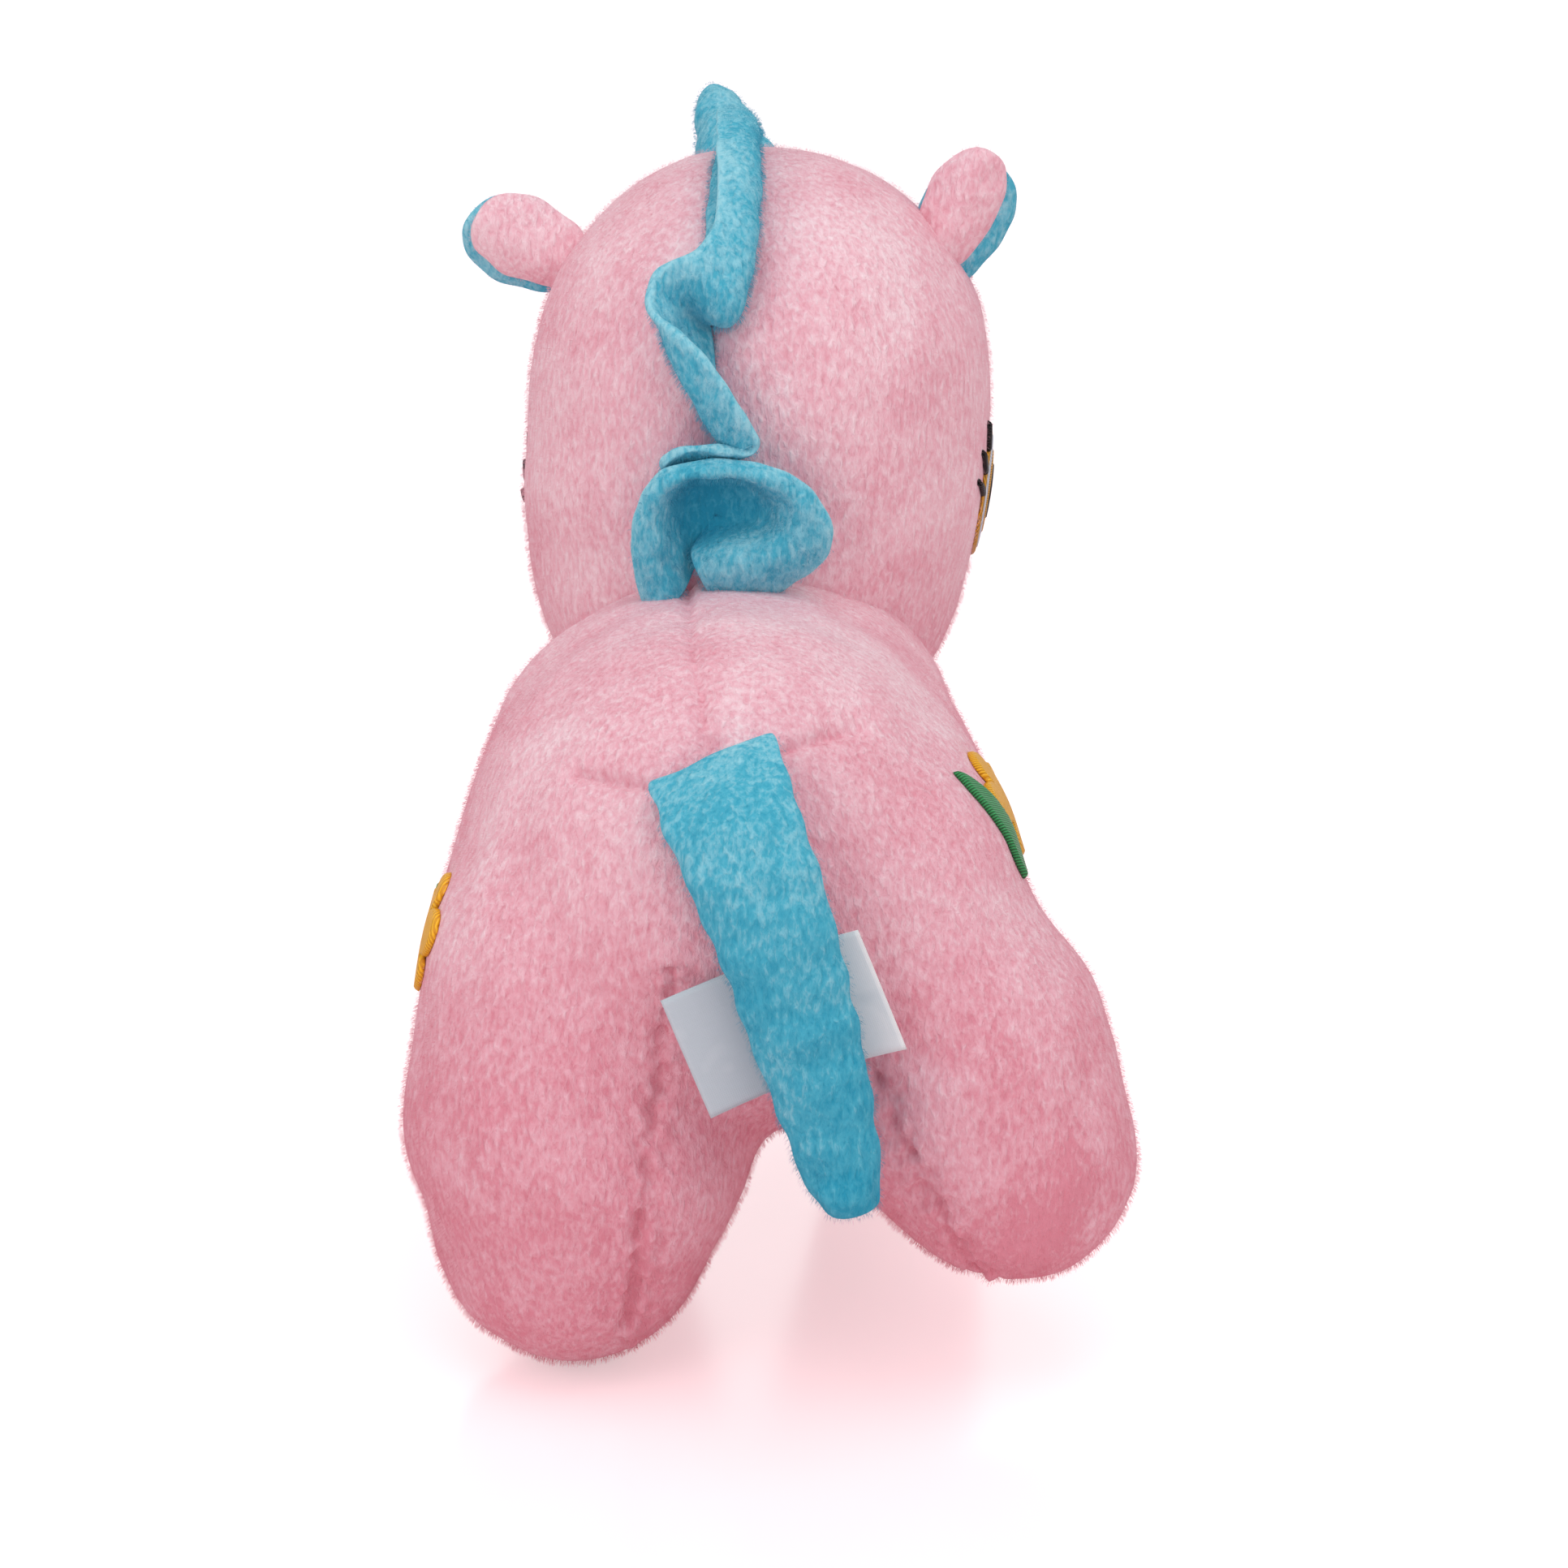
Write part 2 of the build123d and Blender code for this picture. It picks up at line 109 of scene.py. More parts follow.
# Each limb is the hull of two balls: its frame, then a centre and a radius for each end.
BODY_LIMBS = (
    (HIND, RUMP, 66, (0, -35, 115), 59),
    (HIND, (-5, -30, 120), 57, (4, 22, 113), 66),
    (HIND, (11, -4, 124), 54, (41, 42, 99), 40),
    (HIND, (39, 46, 102), 40, (49, 51, 64), 44),
    (HIND, (46, 52, 58), 43, (54.5, 52, 36), 37),
    (HIND, (-15, 0, 118), 51, (-30.5, 40, 106), 43.5),
    (HIND, (-29, 46, 100), 38, (-49, 51, 63), 40),
    (HIND, (-48, 52, 58), 40, (-56.5, 56, 37), 34),
    (TOY, (34, -60, 95), 34, (44, -78, 22), 25),
    (TOY, (-34, -60, 95), 34, (-44, -78, 22), 25),
    (TOY, NECK, 42, (NECK[0], NECK[1], NECK[2] - 4), 42),
)
HEAD_LIMBS = (
    (HEAD, (1.5, 0, -12), 64, (-2, 0, 14), 63),
    (HEAD, (1.5, 0, -12), 63, (4.5, 0, -31), 61),
    (HEAD, (3, -50, -27), 36, (3, -44, -25), 37),
)
CROWN_RADIUS = 61
CROWN_RISE = 14
HEAD_SEAM_X = 5
BACK_SEAM = TOY @ moved(9, 35, 180) @ turned(4, "Z") @ turned(11, "Y")


def crown_point(way_back, sideways, above):
    """A point over the head's middle seam, by the way back from the crown and the height above the
    plush."""
    reach = CROWN_RADIUS + above
    quarter = CROWN_RADIUS * pi / 2
    angle = min(way_back, quarter) / CROWN_RADIUS
    straight = max(way_back - quarter, 0)
    return HEAD @ (Vector((HEAD_SEAM_X + sideways, reach * sin(angle),
                           CROWN_RISE + reach * cos(angle) - straight)) * MM)


def seat_of_horn():
    """Z runs along the horn, from the head's middle seam."""
    seat = Vector(crown_point(-radians(50) * CROWN_RADIUS, 0, 4))
    return Matrix.Translation(seat) @ HEAD.to_3x3().to_4x4() @ turned(55, "X") @ turned(16, "Y")


def ear_frame(side):
    """X runs out along the ear, Y to the back of the head and Z along the sewn edge."""
    angle = 34.5
    reach = CROWN_RADIUS + 2.9
    hinge = (side * reach * cos(radians(angle)), 0,
             CROWN_RISE + reach * sin(radians(angle)))
    return HEAD @ moved(*hinge) @ turned(-angle if side > 0 else angle - 180, "Y")


# ---------------- colours and materials
def srgb(code):
    """A hex colour as linear red, green, blue and alpha."""
    channels = [int(code[start:start + 2], 16) / 255 for start in (0, 2, 4)]
    return tuple([value / 12.92 if value <= 0.04045 else ((value + 0.055) / 1.055) ** 2.4
                  for value in channels] + [1.0])


def node(tree, kind, settings=None, inputs=None):
    """Adds a node with its settings; an input is a value or the output that it is linked to."""
    made = tree.nodes.new(kind)
    for name, value in (settings or {}).items():
        setattr(made, name, value)
    for name, value in (inputs or {}).items():
        if isinstance(value, bpy.types.NodeSocket):
            tree.links.new(value, made.inputs[name])
        else:
            made.inputs[name].default_value = value
    return made


def new_material(name):
    """A material with an empty node tree."""
    material = bpy.data.materials.new(name)
    material.use_nodes = True
    material.node_tree.nodes.clear()
    return material


def surfaced(material, shader, output="BSDF"):
    """Puts a shader on a material's surface."""
    node(material.node_tree, "ShaderNodeOutputMaterial", inputs={"Surface": shader.outputs[output]})
    return material


def ramp(tree, factor, stops):
    """Colours along a factor: pairs of a place and a colour."""
    made = node(tree, "ShaderNodeValToRGB", inputs={"Fac": factor})
    elements = made.color_ramp.elements
    while len(elements) < len(stops):
        elements.new(0.5)
    for element, (place, colour) in zip(elements, stops):
        element.position = place
        element.color = colour
    return made.outputs["Color"]


def mottling(tree, scale, detail, distortion=0.0, stretch=(1, 1, 1), turn=(0, 0, 0)):
    """Noise in object space; scale is how many lumps there are to a metre."""
    place = node(tree, "ShaderNodeTexCoord").outputs["Object"]
    mapping = node(tree, "ShaderNodeMapping", inputs={
        "Vector": place, "Scale": stretch, "Rotation": [radians(value) for value in turn]})
    return node(tree, "ShaderNodeTexNoise", inputs={
        "Vector": mapping.outputs["Vector"], "Scale": scale, "Detail": detail,
        "Roughness": 0.6, "Distortion": distortion}).outputs["Fac"]


def product(tree, first, second):
    """One output times another, or times a number."""
    return node(tree, "ShaderNodeMath", {"operation": "MULTIPLY"}, {
        0: first, 1: second}).outputs[0]


def relief(tree, height, strength, distance):
    """The normals of a fine relief."""
    return node(tree, "ShaderNodeBump", inputs={
        "Height": height, "Strength": strength, "Distance": distance}).outputs["Normal"]


def weighed_sum(tree, terms):
    """The sum of several outputs, each times its own weight."""
    total = 0.0
    for output, weight in terms:
        total = node(tree, "ShaderNodeMath", {"operation": "MULTIPLY_ADD"}, {
            0: output, 1: weight, 2: total}).outputs[0]
    return total


def wear(tree):
    """Painted light by height: from -0.5 at the feet to 0.22 at the withers and above, paler on top
    where the lamps fall and deeper low down, in shade."""
    place = node(tree, "ShaderNodeTexCoord").outputs["Object"]
    height = node(tree, "ShaderNodeSeparateXYZ", inputs={0: place}).outputs["Z"]
    return node(tree, "ShaderNodeMapRange", inputs={
        "Value": height, "From Min": 0.03, "From Max": 0.17,
        "To Min": -0.5, "To Max": 0.22}).outputs[0]


def plush_cloth(name, deep, middle, pale):
    """Minky plush, a knitted polyester ground under short cut pile: soft patches where the pile
    lies one way or another, streaks of fibre a millimetre and a half wide, painted shade along a
    seam's groove, where the seam attribute is below 0, and a painted highlight at a cut or folded
    edge, where it is above 0. It is painted paler on top and deeper low down, as painted light."""
    material = new_material(name)
    tree = material.node_tree
    patches = mottling(tree, 30, 3, 0.6)
    streaks = mottling(tree, 700, 3, 0.3, (1, 1, 0.45), (0, 14, 0))
    ragged = mottling(tree, 300, 2, 2.0)
    seam = node(tree, "ShaderNodeAttribute", {"attribute_name": "seam"}).outputs["Fac"]
    painted_seam_light = product(tree, seam, ragged)
    together = weighed_sum(tree, (
        (patches, 0.42), (streaks, 0.58), (wear(tree), 0.26), (painted_seam_light, 0.2)))
    colour = ramp(tree, together, ((0.33, deep), (0.5, middle), (0.7, pale)))
    normal = relief(tree, streaks, 0.8, 0.0011)
    shader = node(tree, "ShaderNodeBsdfPrincipled", inputs={
        "Base Color": colour, "Normal": normal, "Roughness": 0.95,
        "Specular IOR Level": 0.1, "Sheen Weight": 0.25, "Sheen Roughness": 0.5,
        "Sheen Tint": pale})
    return surfaced(material, shader)


def plush_pile(name, deep, middle, pale):
    """The cut fibres of the same plush, with painted shade at their roots between the tufts, and
    painted light at their tips and on top.
    """
    material = new_material(name)
    tree = material.node_tree
    patches = mottling(tree, 30, 3, 0.6)
    tufts = mottling(tree, 480, 2, 0.3, (1, 1, 0.5), (0, 14, 0))
    # Painted light: the fibres are paler at their tips and deeper at their roots
    tips = node(tree, "ShaderNodeHairInfo").outputs["Intercept"]
    together = weighed_sum(tree, (
        (patches, 0.4), (tufts, 0.4), (tips, 0.15), (wear(tree), 0.26)))
    colour = ramp(tree, together, ((0.33, deep), (0.5, middle), (0.7, pale)))
    shader = node(tree, "ShaderNodeBsdfPrincipled", inputs={
        "Base Color": colour, "Roughness": 0.85, "Specular IOR Level": 0.15})
    through = node(tree, "ShaderNodeBsdfTranslucent", inputs={"Color": colour})
    both = node(tree, "ShaderNodeMixShader", inputs={
        0: 0.4, 1: shader.outputs["BSDF"], 2: through.outputs["BSDF"]})
    return surfaced(material, both, "Shader")


def satin_thread(name, colour, shade):
    """Polyester embroidery thread laid side by side: a silky gloss and a ridge every 0.4 mm, drawn
    0.6 mm wide so that it shows."""
    material = new_material("satin_thread_" + name)
    tree = material.node_tree
    place = node(tree, "ShaderNodeUVMap", {"uv_map": "threads"}).outputs["UV"]
    ridges = node(tree, "ShaderNodeTexWave", {"wave_type": "BANDS", "bands_direction": "X"}, {
        "Vector": place, "Scale": 520, "Distortion": 1.2, "Detail": 2,
        "Detail Scale": 1.5}).outputs["Fac"]
    tone = ramp(tree, ridges, ((0.15, srgb(shade)), (0.75, srgb(colour))))
    normal = relief(tree, ridges, 0.7, 0.0004)
    shader = node(tree, "ShaderNodeBsdfPrincipled", inputs={
        "Base Color": tone, "Normal": normal, "Roughness": 0.38,
        "Specular IOR Level": 0.4, "Anisotropic": 0.5})
    return surfaced(material, shader)


def satin_ribbon(name, colour, shade):
    """Woven polyester satin: smooth and slightly glossy, with a weave of 0.25 mm drawn at 0.5 mm.
    One leaf of the fold is painted greyer: painted shade on the leaf that lies in shadow."""
    material = new_material(name)
    tree = material.node_tree
    place = node(tree, "ShaderNodeUVMap", {"uv_map": "threads"}).outputs["UV"]
    warp, weft = [node(tree, "ShaderNodeTexWave", {"bands_direction": direction}, {
        "Vector": place, "Scale": 620, "Distortion": 0.4}).outputs["Fac"] for direction in "XY"]
    weave = product(tree, warp, weft)
    soft = mottling(tree, 60, 2)
    # Painted shade: the leaf on one side of the fold is greyer
    side = node(tree, "ShaderNodeSeparateXYZ", inputs={0: place}).outputs["X"]
    painted_leaf_shade = node(tree, "ShaderNodeMapRange", inputs={
        "Value": side, "From Min": -0.001, "From Max": 0.001,
        "To Min": 0.0, "To Max": 0.6}).outputs[0]
    tone = ramp(tree, weighed_sum(tree, ((soft, 1.0), (painted_leaf_shade, -1.0))), (
        (0.0, srgb(shade)), (0.45, srgb(colour))))
    normal = relief(tree, weave, 0.25, 0.0002)
    shader = node(tree, "ShaderNodeBsdfPrincipled", inputs={
        "Base Color": tone, "Normal": normal, "Roughness": 0.42,
        "Specular IOR Level": 0.45, "Sheen Weight": 0.2})
    return surfaced(material, shader)


# ---------------- meshes
def new_object(name, mesh):
    made = bpy.data.objects.new(name, mesh)
    bpy.context.scene.collection.objects.link(made)
    return made


def object_of(name, bm):
    mesh = bpy.data.meshes.new(name)
    bm.to_mesh(mesh)
    bm.free()
    return new_object(name, mesh)


def settle(piece):
    """Applies a piece's modifiers to its mesh."""
    graph = bpy.context.evaluated_depsgraph_get()
    mesh = bpy.data.meshes.new_from_object(piece.evaluated_get(graph))
    piece.modifiers.clear()
    old = piece.data
    piece.data = mesh
    bpy.data.meshes.remove(old)
    mesh.name = piece.name
    mesh.shade_smooth()
    return piece


def remeshed(piece):
    modifier = piece.modifiers.new("remesh", "REMESH")
    modifier.mode = "VOXEL"
    modifier.voxel_size = VOXEL
    return settle(piece)


def subdivided(piece, levels):
    modifier = piece.modifiers.new("round", "SUBSURF")
    modifier.levels = levels
    modifier.render_levels = levels
    return settle(piece)


def relaxed(piece, passes):
    bm = bmesh.new()
    bm.from_mesh(piece.data)
    for _ in range(passes):
        bmesh.ops.smooth_vert(bm, verts=bm.verts, factor=0.5, use_axis_x=True, use_axis_y=True,
                              use_axis_z=True)
    bm.to_mesh(piece.data)
    bm.free()


def points(piece):
    """A piece's points as an array."""
    held = np.empty(len(piece.data.vertices) * 3, np.float32)
    piece.data.vertices.foreach_get("co", held)
    return held.reshape(-1, 3).astype(float)


def outward(piece):
    """The normals of a piece's points."""
    held = np.empty(len(piece.data.vertices) * 3, np.float32)
    piece.data.vertex_normals.foreach_get("vector", held)
    return held.reshape(-1, 3).astype(float)


def surface_of(piece):
    """A piece's faces, ready for finding the nearest one."""
    return BVHTree.FromObject(piece, bpy.context.evaluated_depsgraph_get())


def put_points(piece, places):
    piece.data.vertices.foreach_set("co", places.astype(np.float32).ravel())
    piece.data.update()


def limbs(name, rows):
    """One closed mesh for each hull of two balls, all in one object that isn't stuffed yet."""
    whole = bmesh.new()
    for place, start, start_radius, end, end_radius in rows:
        bm = bmesh.new()
        for centre, radius in ((start, start_radius), (end, end_radius)):
            bmesh.ops.create_uvsphere(bm, u_segments=40, v_segments=20,
                                      radius=(radius - SLACK) * MM, matrix=place @ moved(*centre))
        bmesh.ops.delete(bm, geom=bm.edges[:] + bm.faces[:], context="EDGES_FACES")
        hull = bmesh.ops.convex_hull(bm, input=bm.verts[:])
        inside = set(hull["geom_interior"]) | set(hull["geom_unused"])
        bmesh.ops.delete(bm, geom=[item for item in inside if isinstance(item, bmesh.types.BMVert)],
                         context="VERTS")
        part = bpy.data.meshes.new("limb")
        bm.to_mesh(part)
        bm.free()
        whole.from_mesh(part)
        bpy.data.meshes.remove(part)
    bmesh.ops.recalc_face_normals(whole, faces=whole.faces[:])
    return object_of(name, whole)


def stuffed(piece, held, most):
    """Swells a closed skin with cloth simulation, held at its seams, by at most so many metres."""
    start = points(piece)
    group = piece.vertex_groups.new(name="seams")
    group.add([int(index) for index in np.nonzero(held)[0]], 1.0, "REPLACE")
    cloth = piece.modifiers.new("stuffing", "CLOTH").settings
    cloth.quality = 5
    cloth.use_pressure = True
    cloth.uniform_pressure_force = 4
    cloth.effector_weights.gravity = 0
    cloth.vertex_group_mass = "seams"
    scene = bpy.context.scene
    scene.frame_start = 1
    scene.frame_end = STUFFING_STEPS
    for step in range(1, STUFFING_STEPS + 1):
        scene.frame_set(step)
    settle(piece)
    scene.frame_set(1)
    change = points(piece) - start
    length = np.linalg.norm(change, axis=1, keepdims=True)
    put_points(piece, start + change * np.minimum(1, most / np.maximum(length, 1e-9)))
    piece.vertex_groups.clear()


def lumps(places, size, seed):
    """Smooth noise from -1 to 1 at each place, for lumps of that size in metres."""
    rng = np.random.default_rng(seed)
    total = np.zeros(len(places))
    for _ in range(7):
        wave = rng.normal(size=3)
        wave *= (2 * pi / size) / np.linalg.norm(wave) * rng.uniform(0.6, 1.4)
        total += np.sin(places @ wave + rng.uniform(0, 2 * pi))
    return total / 4


def lumpy(piece, size, seed, depth):
    """Gives a stuffed piece soft lumps of a size and a depth in metres."""
    places = points(piece)
    put_points(piece, places + outward(piece) * (lumps(places, size, seed) * depth)[:, None])


def plane_gap(places, frame_matrix):
    """Signed distance of each place from a frame's YZ plane."""
    normal = np.array(frame_matrix.to_3x3() @ Vector((1, 0, 0)))
    return (places - np.array(frame_matrix.translation)) @ normal


def line_gap(places, line):
    """Distance of each place from a run of points."""
    tree_points = []
    for start, end in zip(line, line[1:]):
        steps = max(2, int((end - start).length / 0.0008))
        tree_points += [start.lerp(end, step / steps) for step in range(steps)]
    tree = KDTree(len(tree_points))
    for index, point in enumerate(tree_points):
        tree.insert(point, index)
    tree.balance()
    return np.array([tree.find(place)[2] for place in places])


def sewn(piece, gap, share, pucker):
    """Draws the skin in along a seam, by a share of a seam's depth, with small puckers that fade
    away from it. Gives how near the seam each point is, from 0 to 1."""
    places = points(piece)
    depth = sizes().seam_depth * share
    width = sizes().seam_width
    near = np.exp(-(gap / width) ** 2)
    wide = np.exp(-(gap / (width * 3.2)) ** 2)
    folds = lumps(places, 0.006, 11) * pucker * wide
    drawn_in = near * depth + wide * depth * 0.45 - folds
    put_points(piece, places - outward(piece) * drawn_in[:, None])
    return np.maximum(near, wide * 0.4)


def weigh(piece, name, weights):
    """Adds a vertex group of weights from 0 to 1, in steps of a twentieth."""
    group = piece.vertex_groups.new(name=name)
    levels = np.round(np.clip(weights, 0, 1) * 20).astype(int)
    for level in np.unique(levels):
        group.add([int(index) for index in np.nonzero(levels == level)[0]], level / 20, "REPLACE")


def grow_pile(piece, colour, share, lie, seed, keep=1.0, fibres_each=3, width=0.0009):
    """Short cut pile on a plush piece, a share of the set length: tufts of fibres that lie one way,
    lie being in shares of their length, and keep being how much pile each point keeps."""
    spacing = sizes().tuft
    length = sizes().pile * share
    piece.data.materials.clear()
    for material in plush(colour):
        piece.data.materials.append(material)
    weigh(piece, "pile", np.ones(len(piece.data.vertices)) * keep)
    area = sum(face.area for face in piece.data.polygons)
    system = piece.modifiers.new("pile", "PARTICLE_SYSTEM").particle_system
    system.seed = seed
    system.vertex_group_density = "pile"
    system.vertex_group_length = "pile"
    fur = system.settings
    fur.type = "HAIR"
    fur.distribution = "JIT"
    fur.use_even_distribution = True
    fur.count = int(area / spacing ** 2)
    fur.hair_length = length
    fur.hair_step = 3
    fur.use_advanced_hair = True
    # A fibre is drawn four times as far as this says.
    fur.object_align_factor = [part * length / 4 for part in lie]
    fur.factor_random = length * 0.04
    fur.child_type = "SIMPLE"
    fur.rendered_child_count = fibres_each
    fur.child_radius = spacing
    fur.child_roundness = 1.0
    fur.roughness_endpoint = length * 0.05
    fur.roughness_2 = length * 0.04
    fur.roughness_2_size = 0.004
    fur.root_radius = 0.06
    fur.tip_radius = 0.025
    fur.radius_scale = width
    fur.render_step = 2
    fur.display_step = 2
    fur.material = 2


# ---------------- what a maker may change
def tint(name, description, code):
    """A colour that a maker may change."""
    return FloatVectorProperty(name=name, description=description, subtype="COLOR", size=4, min=0,
                               max=1, default=srgb(code))


class PlushColours(PropertyGroup):
    # The deep tone also paints shade at the roots between the tufts and low down, the pale tone
    # light at the tips and on top.
    pink: tint("Pink", "Middle tone of the body plush", "EDB5C2")
    pink_deep: tint("Deep pink", "Between the tufts", "E293A3")
    pink_pale: tint("Pale pink", "At the tips of the pile", "F8DCE3")
    blue: tint("Blue", "Middle tone of the mane and tail", "50B2CB")
    blue_deep: tint("Deep blue", "Between the tufts", "2F9CBB")
    blue_pale: tint("Pale blue", "At the tips of the pile", "9AD4E2")
    # The floor tone is tinted pink: a painted reflection of the pink toy in the white table.
    floor: tint("Floor", "Colour of the table", "FCE0E4")


def span(name, description, low, high, default):
    """A length that a maker may change."""
    return FloatProperty(name=name, description=description, unit="LENGTH", min=low, max=high,
                         default=default)


class PlushSizes(PropertyGroup):
    pile: span("Pile", "Length of the pile", 0.0005, 0.01, 0.0007)
    tuft: span("Tuft", "Distance between tufts", 0.0008, 0.01, 0.0011)
    seam_depth: span("Seam depth", "How far a seam draws the skin in", 0, 0.005, 0.0016)
    seam_width: span("Seam width", "Half width of a seam's groove", 0.0003, 0.01, 0.0016)


def colours():
    return bpy.context.scene.plush_colours


def sizes():
    return bpy.context.scene.plush_sizes


def plush(colour):
    """The cloth and the pile of the pink or the blue plush, made once."""
    names = "plush_cloth_" + colour, "plush_pile_" + colour
    if names[0] not in bpy.data.materials:
        tones = [tuple(getattr(colours(), colour + end)) for end in ("_deep", "", "_pale")]
        plush_cloth(names[0], *tones)
        plush_pile(names[1], *tones)
    return [bpy.data.materials[name] for name in names]


# ---------------- stitched patches
def outline(count, shape):
    """A closed run of so many points: shape takes an angle and gives a point."""
    return [shape(2 * pi * step / count) for step in range(count)]


def ellipse(half_width, half_height, x=0.0, y=0.0, count=40):
    return outline(count, lambda angle: (x + half_width * cos(angle),
                                         y + half_height * sin(angle)))


def patch(name, edge, place, skin, height, material, spin):
    """A patch of satin stitch laid on a skin: edge holds points in a frame's XY plane, in mm, and
    the frame's Z axis points out of the skin."""
    surface = surface_of(skin)
    bm = bmesh.new()
    across = sum(x for x, _ in edge) / len(edge)
    up = sum(y for _, y in edge) / len(edge)
    reach = max(hypot(x - across, y - up) for x, y in edge)
    shares = [1.0, 1 - 0.5 / reach, 1 - 1.1 / reach]
    shares += [shares[2] * step / 8 for step in range(7, 0, -1)]
    loops = [[bm.verts.new(((across + (x - across) * share) * MM, (up + (y - up) * share) * MM, 0))
              for x, y in edge] for share in shares]
    rings = [ring for ring, loop in enumerate(loops) for _ in loop]
    for outer, inner in zip(loops, loops[1:]):
        for index in range(len(edge)):
            following = (index + 1) % len(edge)
            bm.faces.new((outer[index], outer[following], inner[following], inner[index]))
    bm.faces.new(loops[-1])
    threads = bm.loops.layers.uv.new("threads")
    cosine, sine = cos(radians(spin)), sin(radians(spin))
    for item in bm.faces:
        for loop in item.loops:
            x, y = loop.vert.co.x, loop.vert.co.y
            loop[threads].uv = (x * cosine + y * sine, y * cosine - x * sine)
    inward = -(place.to_3x3() @ Vector((0, 0, 1))).normalized()
    for vert, ring in zip(bm.verts, rings):
        start = place @ Vector((vert.co.x, vert.co.y, 0)) - inward * 0.05
        hit, normal, _, _ = surface.ray_cast(start, inward)
        if hit is None or normal.dot(inward) > -0.12:
            hit, normal, _, _ = surface.find_nearest(start + inward * 0.05)
        vert.co = hit + normal * height * (0.15, 0.75, 1)[min(ring, 2)]
    bmesh.ops.recalc_face_normals(bm, faces=bm.faces[:])
    if bm.faces[0].normal.dot(inward) > 0:
        bmesh.ops.reverse_faces(bm, faces=bm.faces[:])
    piece = object_of(name, bm)
    thick = piece.modifiers.new("thickness", "SOLIDIFY")
    thick.thickness = 0.0012
    thick.offset = -1
    settle(piece)
    piece.data.materials.append(material)
    return piece


def joined(name, pieces, material):
    """Several patches as one piece."""
    whole = bmesh.new()
    for piece in pieces:
        whole.from_mesh(piece.data)
        bpy.data.objects.remove(piece)
    made = object_of(name, whole)
    made.data.materials.append(material)
    made.data.shade_smooth()
    return made


def cleared(skin, patches):
    """How much pile a skin keeps: none under its stitched patches and close beside them."""
    margin = 0.0012
    keep = np.ones(len(skin.data.vertices))
    places = points(skin)
    for piece in patches:
        surface = surface_of(piece)
        box = points(piece)
        low, high = box.min(0) - 0.004, box.max(0) + 0.004
        for index in np.nonzero(np.all((places > low) & (places < high), axis=1))[0]:
            gap = surface.find_nearest(Vector(places[index]))[3]
            keep[index] = min(keep[index], max(0.0, (gap - margin) / margin))
    return keep


# ---------------- the pieces
class PLUSH_OT_stage(Operator):
    """Adds the pale table, the soft lamps and the camera"""
    bl_idname = "plush.stage"
    bl_label = "Stage"

    def execute(self, context):
        scene = context.scene
        bm = bmesh.new()
        bmesh.ops.create_grid(bm, x_segments=1, y_segments=1, size=6)
        floor = object_of("floor", bm)
        material = new_material("white_acrylic_table")
        tree = material.node_tree
        # Painted reflection: the table's colour and its glow are tinted pink, for the toy's pink
        # light on the white table.
        shader = node(tree, "ShaderNodeBsdfPrincipled", inputs={
            "Base Color": tuple(colours().floor), "Roughness": 0.2, "IOR": 2.2})
        direct = node(tree, "ShaderNodeLightPath").outputs["Is Camera Ray"]
        glow = node(tree, "ShaderNodeEmission", inputs={
            "Color": (1.0, 0.94, 0.95, 1), "Strength": product(tree, direct, 0.44)})
        both = node(tree, "ShaderNodeAddShader", inputs={0: shader.outputs["BSDF"],
                                                         1: glow.outputs["Emission"]})
        floor.data.materials.append(surfaced(material, both, "Shader"))

        world = bpy.data.worlds.new("studio")
        world.use_nodes = True
        tree = world.node_tree
        tree.nodes.clear()
        path = node(tree, "ShaderNodeLightPath").outputs
        seen = node(tree, "ShaderNodeMath", {"operation": "MAXIMUM"}, {
            0: path["Is Camera Ray"], 1: path["Is Glossy Ray"]}).outputs[0]
        strength = node(tree, "ShaderNodeMapRange", inputs={
            "Value": seen, "To Min": 0.6, "To Max": 1.0})
        sky = node(tree, "ShaderNodeBackground", inputs={
            "Color": (1, 1, 1, 1), "Strength": strength.outputs["Result"]})
        node(tree, "ShaderNodeOutputWorld", inputs={"Surface": sky.outputs["Background"]})
        scene.world = world

        middle = TOY @ (Vector((0, 0, 140)) * MM)
        for name, place, size, power in (("key", (0.8, 1.0, 0.6), 0.8, 3.0),
                                         ("fill", (-0.8, 1.1, 0.5), 1.0, 1.7),
                                         ("top", (-0.1, 0.4, 1.3), 1.0, 6.6)):
            lamp = bpy.data.lights.new(name, "AREA")
            lamp.size = size
            lamp.energy = power
            lamp_object = new_object(name, lamp)
            lamp_object.location = middle + Vector(place)
            lamp_object.rotation_euler = (-Vector(place)).to_track_quat("-Z", "Y").to_euler()

        camera = bpy.data.cameras.new("camera")
        view_angle = radians(22.6)
        camera.sensor_width = 36
        camera.lens = camera.sensor_width / 2 / tan(view_angle / 2)
        camera.shift_x = 0.030
        camera.shift_y = -0.0104
        camera_object = new_object("camera", camera)
        azimuth, height = radians(182), radians(18)
        back = Vector((sin(azimuth) * cos(height), -cos(azimuth) * cos(height),
                       sin(height)))
        camera_object.location = middle + back
        camera_object.rotation_euler = (-back).to_track_quat("-Z", "Y").to_euler()
        camera.clip_start = 0.05
        scene.camera = camera_object
        scene.view_settings.view_transform = "Standard"
        return {"FINISHED"}


def gusset_gap(places):
    """Distance from the two seams between the outer panels and the inner-leg cloth, below the
    belly: each runs from foot to top, which are how far from the middle it is, in mm."""
    local = (np.c_[places, np.ones(len(places))] @ np.array(HIND.inverted()).T)[:, :3] / MM
    gaps = []
    belly, foot = 112, 47
    for side, top in ((1, 12), (-1, 20)):
        slope = (foot - top) / belly
        across = (side * local[:, 0] - (foot - slope * local[:, 2])) / hypot(1, slope)
        gaps.append(np.where(local[:, 2] < belly, np.abs(across), 99.0))
    return np.minimum(*gaps) * MM


